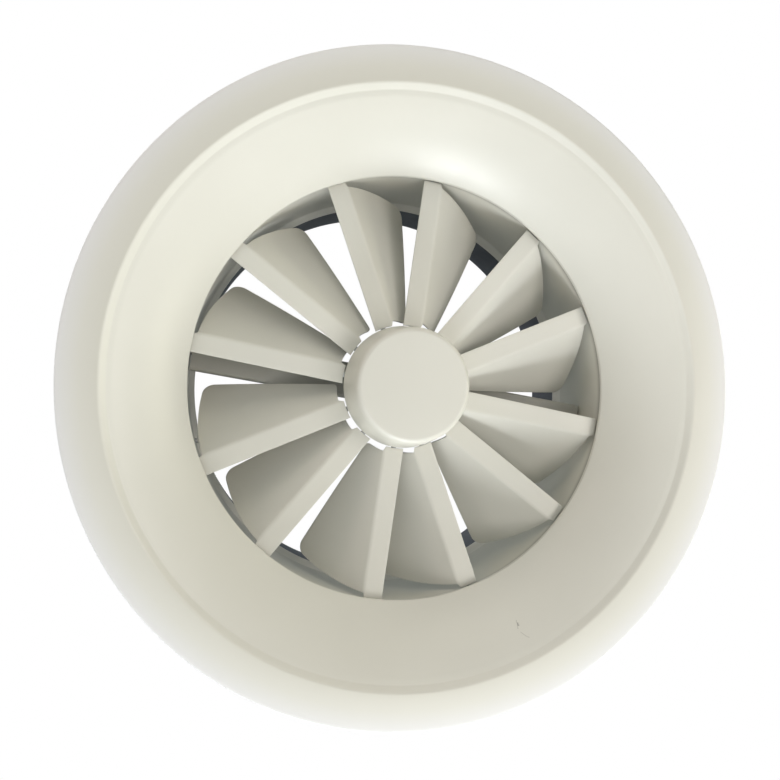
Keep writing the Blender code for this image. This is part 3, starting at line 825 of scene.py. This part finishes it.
# ---------------------------------------------------------------- drive ring
# A flat ring with one open slot in its outer edge for each vane's crank.
SWING, CRANK = math.radians(14.0), 12.0
CRANK_ARM = Vector((0, CRANK * math.sin(SWING), CRANK * math.cos(SWING)))
low, high = box_mm("drive_ring")
RING_Z, RING_TOP, RING_R, RING_BORE = low.z, high.z, 32.0, 10.4
RING_TURN = math.atan2(CRANK_ARM.y, 30.0)
SLOT_HALF, SLOT_FLOOR, SLOT_DEPTH = 2.6, 27.2, 1.2      # SLOT_DEPTH is that of the curved floor


def ring_outline():
    outline = []
    angles = sorted((direction(vane) + RING_TURN) % (2 * math.pi) for vane in VANES)
    clear = math.asin(SLOT_HALF / RING_R) + 0.03        # rim left out beside a slot
    mouth = math.sqrt(RING_R * RING_R - SLOT_HALF * SLOT_HALF)
    for i, angle in enumerate(angles):
        out = Vector((math.cos(angle), math.sin(angle)))
        side = Vector((-math.sin(angle), math.cos(angle)))
        outline += [out * mouth - side * (SLOT_HALF + 0.5),
                    out * (mouth - 0.6) - side * SLOT_HALF]
        for k in range(13):
            turned = math.pi * (k / 12.0)
            outline.append(out * (SLOT_FLOOR + SLOT_DEPTH - SLOT_DEPTH * math.sin(turned))
                           - side * (SLOT_HALF * math.cos(turned)))
        outline += [out * (mouth - 0.6) + side * SLOT_HALF,
                    out * mouth + side * (SLOT_HALF + 0.5)]
        following = angles[(i + 1) % 12] + (2 * math.pi if i == 11 else 0)
        start, end = angle + clear, following - clear
        for k in range(1, 8):
            turned = start + (end - start) * k / 8
            outline.append(Vector((RING_R * math.cos(turned), RING_R * math.sin(turned))))
    return outline


def drive_ring():
    edge = 0.3
    curve = bpy.data.curves.new("ring_outline", "CURVE")
    curve.dimensions = "2D"
    curve.fill_mode = "BOTH"
    curve.extrude = 0.5 * MM * (RING_TOP - RING_Z - 2 * edge)
    curve.bevel_depth = edge * MM
    curve.bevel_resolution = 1
    curve.offset = -edge * MM
    add_line(curve, ring_outline(), cyclic=True)
    add_line(curve, [Vector((RING_BORE * math.cos(2 * math.pi * k / 72),
                             RING_BORE * math.sin(2 * math.pi * k / 72))) for k in range(72)],
             cyclic=True)
    flat = link("notched_ring", curve)
    flat.location = (0, 0, 0.5 * MM * (RING_Z + RING_TOP))
    return finish_mesh(welded(flat), 40.0)


ring = drive_ring()
circlip = lathe("ring_retainer",
                ring_section(12.6, 10.3, RING_Z - 0.3, RING_Z - 1.5, corner=0.2), 64)
lever = lathe("adjusting_peg", rounded([
    (0, RING_Z - 0.3, 0), (2.5, RING_Z - 0.3, 0.4), (2.5, 46.0, 0.6), (3.6, 44.8, 0.8),
    (3.6, 41.6, 0.9), (2.4, 40.2, 0.8), (0, 40.2, 0)], 4, closed=False), 40, closed=False,
    placement=Matrix.Translation((19.0, 0, 0)), angle=50.0)

# --------------------------------------------------------------------- vanes
# Drawn along +X: a level strip along the pivot and a flap bent up from it along a crease.
# "across" is the width measured on the flat sheet, toward +Y.
VANE_Z = 49.8
LEAD_W, CREASE_W, BEND_R = -6.7, 7.5, 4.5
STRIP_IN, STRIP_OUT, FLAP_IN, FLAP_OUT = 46.0, 157.2, 50.0, 154.0     # radii of the ends
FLAP_START, FLAP_W, FLAP_SLOPE = 47.0, 17.5, 0.575      # the flap widens outward from FLAP_W
OUT_FILLET, IN_FILLET = 8.0, 3.0


def smooth(x):
    x = min(1.0, max(0.0, x))
    return x * x * (3 - 2 * x)


def inner_radius(across):
    return STRIP_IN + (FLAP_IN - STRIP_IN) * smooth((across - 6.0) / 3.0)


def outer_radius(across):
    return STRIP_OUT + (FLAP_OUT - STRIP_OUT) * smooth((across - 6.4) / 1.8)


def free_edge(radius):
    """Width at which the flap ends: a sloping line, rounded off at both ends."""
    slope = FLAP_SLOPE
    base = FLAP_W - slope * FLAP_START + CREASE_W
    root = math.sqrt(4 * slope * slope * base * base
                     - 4 * (1 + slope * slope) * (base * base - radius * radius))
    along = (-2 * slope * base + root) / (2 * (1 + slope * slope))
    angle = math.atan2(base + slope * along, along)
    for over, corner in ((radius - (FLAP_OUT - OUT_FILLET), OUT_FILLET),
                         (FLAP_IN + IN_FILLET - radius, IN_FILLET)):
        if over > 0:
            over = min(over, corner)
            angle -= (corner - math.sqrt(corner * corner - over * over)) / radius
    return radius * math.sin(angle)


def vane_point(radius, across):
    """Folds a point of the flat sheet; the bend grows from 41 to 45 degrees outward."""
    x = math.sqrt(radius * radius - across * across)
    bend = math.radians(41.0 + 4.0 * min(1.0, max(0.0, (x - FLAP_START) / 86.0)))
    past = across - CREASE_W
    reach = BEND_R * math.tan(bend / 2)
    if past <= -reach:
        y, z = across, 0.0
    elif past >= reach:
        y, z = CREASE_W + past * math.cos(bend), past * math.sin(bend)
    else:
        turned = bend * (past + reach) / (2 * reach)
        y = CREASE_W - reach + BEND_R * math.sin(turned)
        z = BEND_R * (1 - math.cos(turned))
    return Vector((x, y, z + VANE_Z))


def blade_mesh():
    rows, flap_columns = 72, 20
    strip = [LEAD_W + (4.0 - LEAD_W) * k / 5 for k in range(6)]
    strip += [4.0 + (11.0 - 4.0) * k / 16 for k in range(1, 17)]
    shape = bmesh.new()
    grid = []
    for i in range(rows + 1):
        x = i / rows
        part = 0.35 * x + 0.65 * 0.5 * (1 - math.cos(math.pi * x))      # closer at the ends
        points = []
        for across in strip:
            inner = inner_radius(across)
            points.append(vane_point(inner + (outer_radius(across) - inner) * part, across))
        radius = FLAP_IN + (FLAP_OUT - FLAP_IN) * part
        for k in range(1, flap_columns + 1):
            across = strip[-1] + (free_edge(radius) - strip[-1]) * (k / flap_columns)
            points.append(vane_point(radius, across))
        grid.append([shape.verts.new(point) for point in points])
    for one, two in zip(grid, grid[1:]):
        for j in range(len(one) - 1):
            shape.faces.new((one[j], two[j], two[j + 1], one[j + 1]))
    blade = new_object("blade_master", shape)
    thicken(blade, thickness=1.5, offset=1.0, even=True)
    soften(blade, width=0.35, segments=3)
    return taken_mesh(finish_mesh(baked(blade), 60.0))


def wire_mesh():
    """Crank wire along the pivot, stepped up by the crank arm at its inner end."""
    bend_run = 2.2
    path = [Vector((62, 0, 0)), Vector((34.6, 0, 0)), Vector((34.6, 0, 0)) + CRANK_ARM,
            Vector((28, 0, 0)) + CRANK_ARM]
    points = [path[0]]
    for before, corner, after in zip(path, path[1:], path[2:]):
        inward, onward = (before - corner).normalized(), (after - corner).normalized()
        for k in range(9):
            t = k / 8
            points.append(corner + inward * bend_run * (1 - t) ** 2 + onward * bend_run * t ** 2)
    points.append(path[-1])
    curve = bpy.data.curves.new("wire", "CURVE")
    curve.dimensions = "3D"
    curve.bevel_depth = 1.9 * MM
    curve.bevel_resolution = 5
    curve.use_fill_caps = True
    add_line(curve, points)
    wire = welded(link("wire_master", curve))
    soften(wire, width=0.3, segments=2)
    return taken_mesh(finish_mesh(baked(wire), 50.0))


def taken_mesh(ob):
    """Keeps an object's mesh and removes the object."""
    mesh = ob.data
    bpy.data.objects.remove(ob, do_unlink=True)
    return mesh


def placed(name, master, placement):
    """A copy of a mesh in metres, at a placement in millimetres."""
    placement.translation = placement.translation * MM
    mesh = master.copy()
    mesh.name = name
    mesh.transform(placement)
    return link(name, mesh)


# outer pivot pin: (radius about its own axis, distance from Z)
PIN_PROFILE = [
    (0, 162.3), (1.4, 162.2), (2.6, 161.8), (3.4, 161.1), (3.8, 160.3), (3.8, 159.65),
    (2.0, 159.6), (2.0, 136.4), (1.4, 135.4), (0, 135.4)]
blade_master = blade_mesh()
wire_master = wire_mesh()
for vane in VANES:
    angle = direction(vane)
    body = "vane_%s_set" % vane
    dress(placed("blade_" + vane, blade_master, about(angle)),
          "paint", body, "vane_" + vane)
    dress(placed("wire_" + vane, wire_master, about(angle, PIVOT_Z)),
          "zinc", body, "vane_crank_" + vane)
    dress(lathe("pin_" + vane, PIN_PROFILE, 36, closed=False, placement=outward(angle, PIVOT_Z),
                angle=50.0), "zinc", body, "vane_pivot_" + vane)

# ------------------------------------------------------ finishes of the rest
dress(nozzle, "face", "frame", "face_nozzle")
dress(neck, "neck", "frame", "neck_shell")
dress(collar, "slate", "frame", "spigot_collar")
dress(band, "galv", "frame", "neck_band")
dress(seal, "rubber", "frame", "spigot_lip_seal")
dress(gasket, "foam", "frame", "ceiling_gasket")
for k, rivet in enumerate(rivets, 1):
    dress(rivet, "zinc", "frame", "neck_band_rivet_%d" % k)
dress(bar, "bar", "frame", "crossbar")
for tab in tabs:
    dress(tab, "bar", "frame")
for k, bar_screw in enumerate(bar_screws, 1):
    dress(bar_screw, "zinc", "frame", "crossbar_screw_%d" % k)
dress(cap, "paint", "cap", "hub_cap")
dress(drum, "galv", "frame", "hub_drum")
dress(spacer, "zinc", "frame", "hub_spacer")
dress(screw, "zinc", "frame", "centre_screw")
dress(washer, "zinc", "frame", "screw_washer")
dress(nut, "zinc", "frame", "crossbar_nut")
for k, clip in enumerate(clips, 1):
    dress(clip, "spring", "frame", "cap_clip_%d" % k)
dress(ring, "alloy", "ring", "drive_ring")
dress(circlip, "spring", "frame", "ring_circlip")
dress(lever, "zinc", "ring", "setting_lever")

# --------------------------------------------------------------------- floor
FLOOR_Z, FLOOR_SIZE = -1600.0, 40000.0
FLOOR_GLOW = 0.52               # keeps the floor pale to the camera without lighting the object
plane = bmesh.new()
bmesh.ops.create_grid(plane, x_segments=1, y_segments=1, size=FLOOR_SIZE)
floor = new_object("floor", plane, Matrix.Translation((0, 0, FLOOR_Z)))
pale = Surface("pale_floor")
camera_ray = pale.add("LightPath").outputs["Is Camera Ray"]
pale.shade({"Base Color": pale.ramp(pale.noise(scale=1.5), [(0.3, (0.80, 0.80, 0.795)),
                                                            (0.7, (0.84, 0.84, 0.835))]),
            "Roughness": 0.8, "Emission Color": (0.90, 0.90, 0.89),
            "Emission Strength": pale.times(camera_ray, FLOOR_GLOW)})
floor.data.materials.append(pale.material)

scene = bpy.context.scene
scene.view_settings.view_transform = "Standard"
scene.view_settings.look = "None"
scene.view_settings.exposure = 0.0
scene.view_settings.gamma = 1.0

# --------------------------------------------------------------------- world
SKY = 0.258                     # soft light from above the face plane
LEAN_X, LEAN_Y = 0.25, 0.70     # how much weaker it is toward +X and +Y
world = bpy.data.worlds.new("studio")
scene.world = world
world.use_nodes = True
sky = Graph(world.node_tree)
x, y, z = sky.add("SeparateXYZ", {0: sky.add("TexCoord").outputs["Generated"]}).outputs
lean = sky.maths("SUBTRACT", sky.maths("SUBTRACT", 1.0, sky.times(y, LEAN_Y)),
                 sky.times(x, LEAN_X))
glow = sky.times(sky.span(z, reads=(-0.05, 0.05), gives=(0.0, SKY)), lean)
ambient = sky.add("Background", {"Color": (0.86, 0.96, 0.98), "Strength": glow})
# the camera itself sees plain white
seen = sky.add("Background", {"Color": (1, 1, 1), "Strength": 1.0})
blend = sky.add("MixShader", {0: sky.add("LightPath").outputs["Is Camera Ray"],
                              1: ambient.outputs[0], 2: seen.outputs[0]})
sky.add("OutputWorld", {"Surface": blend.outputs[0]})

# -------------------------------------------------------------------- lights
AIM = Vector((0, 0, 0.02))      # in the throat
LIGHT_POWER = 19.55             # watts for a colour channel of 1
# name, tilt from straight below the face, azimuth (degrees), distance, disk size, colour
LIGHTS = [
    ("low_right", 35.0, 0.0, 1.6, 0.7, (0.223, 0.208, 0.195)),
    ("low_front_right", 35.0, 60.0, 1.6, 0.7, (0.176, 0.170, 0.159)),
    ("mid_front_left", 58.0, 135.0, 1.5, 0.8, (0.088, 0.086, 0.080)),
    ("mid_back", 58.0, 270.0, 1.5, 0.8, (0.148, 0.142, 0.118)),
    ("side_right", 78.0, 0.0, 1.4, 0.7, (0.240, 0.232, 0.180)),
    ("side_front", 78.0, 90.0, 1.4, 0.7, (0.920, 0.960, 0.990)),
    ("side_back_left", 78.0, 225.0, 1.4, 0.7, (0.165, 0.136, 0.128)),
    # skimming lights, too low to reach down through the duct
    ("rim_left", 99.0, 210.0, 1.7, 0.8, (0.55, 0.53, 0.54)),
    ("rim_right", 99.0, 30.0, 1.7, 0.8, (0.22, 0.22, 0.21)),
]
for name, tilt, azimuth, distance, size, colour in LIGHTS:
    tilt, azimuth = math.radians(tilt), math.radians(azimuth)
    strongest = max(colour)
    lamp = bpy.data.lights.new(name, "AREA")
    lamp.shape = "DISK"
    lamp.size = size
    lamp.energy = LIGHT_POWER * strongest
    lamp.color = tuple(channel / strongest for channel in colour)
    light = link(name, lamp)
    light.location = (distance * math.sin(tilt) * math.cos(azimuth),
                      distance * math.sin(tilt) * math.sin(azimuth),
                      0.02 - distance * math.cos(tilt))
    light.rotation_euler = (AIM - light.location).to_track_quat("-Z", "Y").to_euler()

# -------------------------------------------------------------------- camera
# Below the face, looking up.
CAMERA_AT = Vector((-0.1337, 0.01933, -0.5313))
CAMERA_RIGHT = Vector((0.97818379, 0.00316059, -0.20771732)).normalized()
CAMERA_VIEW = Vector((0.20778897, -0.02848961, 0.97775871)).normalized()
lens = bpy.data.cameras.new("camera")
lens.lens = 36.92
lens.sensor_width = 36.0
lens.sensor_fit = "HORIZONTAL"
lens.clip_start = 0.01
lens.clip_end = 200.0
camera = link("camera", lens)
camera_up = CAMERA_RIGHT.cross(CAMERA_VIEW).normalized()
pose = Matrix((CAMERA_RIGHT, camera_up, -CAMERA_VIEW)).transposed().to_4x4()
pose.translation = CAMERA_AT
camera.matrix_world = pose
scene.camera = camera
